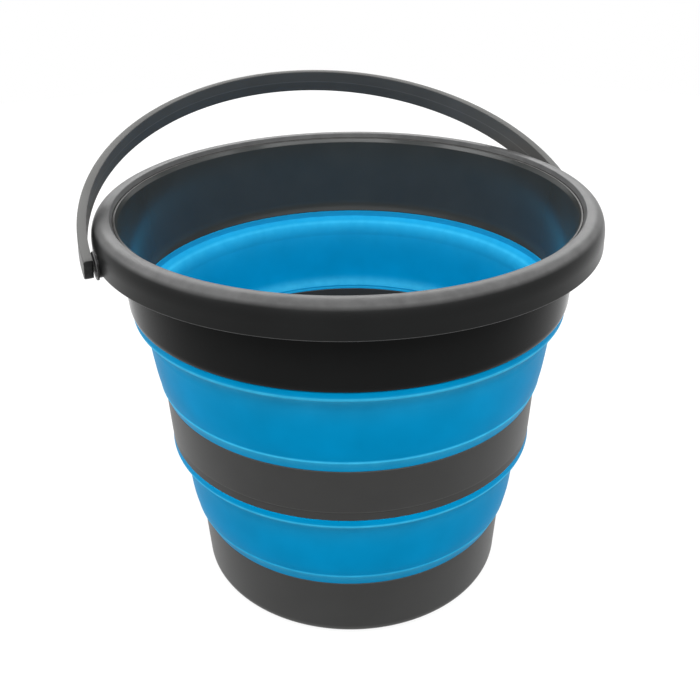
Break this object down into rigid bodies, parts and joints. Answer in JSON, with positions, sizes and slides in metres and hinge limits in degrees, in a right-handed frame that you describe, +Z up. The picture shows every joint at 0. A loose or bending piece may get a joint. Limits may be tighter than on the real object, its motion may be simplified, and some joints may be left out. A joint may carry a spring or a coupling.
{
  "type": "collapsible bucket",
  "caption": "Round collapsible bucket of rigid rings joined by folding rubber bands, with a rolled rim and a swinging strap handle.",
  "frame": {"origin": "centre of the base's underside, on the surface that the bucket stands on", "axes": "+Z up out of the mouth; X along the handle's pivots; at rest the handle leans back towards +Y"},
  "size_m": [0.3366, 0.32, 0.324],
  "materials": {
    "base_plastic": "satin moulded polypropylene, dark grey",
    "ring_plastic": "glossy moulded polypropylene, near black",
    "rim_plastic": "satin moulded polypropylene, near black",
    "handle_plastic": "satin moulded polypropylene, dark grey",
    "band_rubber": "satin soft thermoplastic rubber, bright blue"
  },
  "bodies": {
    "base": {"base_cup": "base_plastic", "lower_band": "band_rubber"},
    "middle": {"mid_ring": "base_plastic", "upper_band": "band_rubber"},
    "rim": {"upper_ring": "ring_plastic", "rim_cap": "rim_plastic", "pivot_bush_left": "rim_plastic", "pivot_bush_right": "rim_plastic"},
    "handle": {"bail_handle": "handle_plastic"}
  },
  "joints": [
    {"name": "lower_fold", "type": "slide", "parent": "base", "child": "middle", "axis": [0, 0, -1], "range_m": [0, 0.105], "deforming": ["lower_band"]},
    {"name": "upper_fold", "type": "slide", "parent": "middle", "child": "rim", "axis": [0, 0, -1], "range_m": [0, 0.099], "deforming": ["upper_band"]},
    {"name": "handle_swing", "type": "hinge", "parent": "rim", "child": "handle", "pos_m": [0, 0, 0.252], "axis": [-1, 0, 0], "range_deg": [-133, 7.5]}
  ]
}
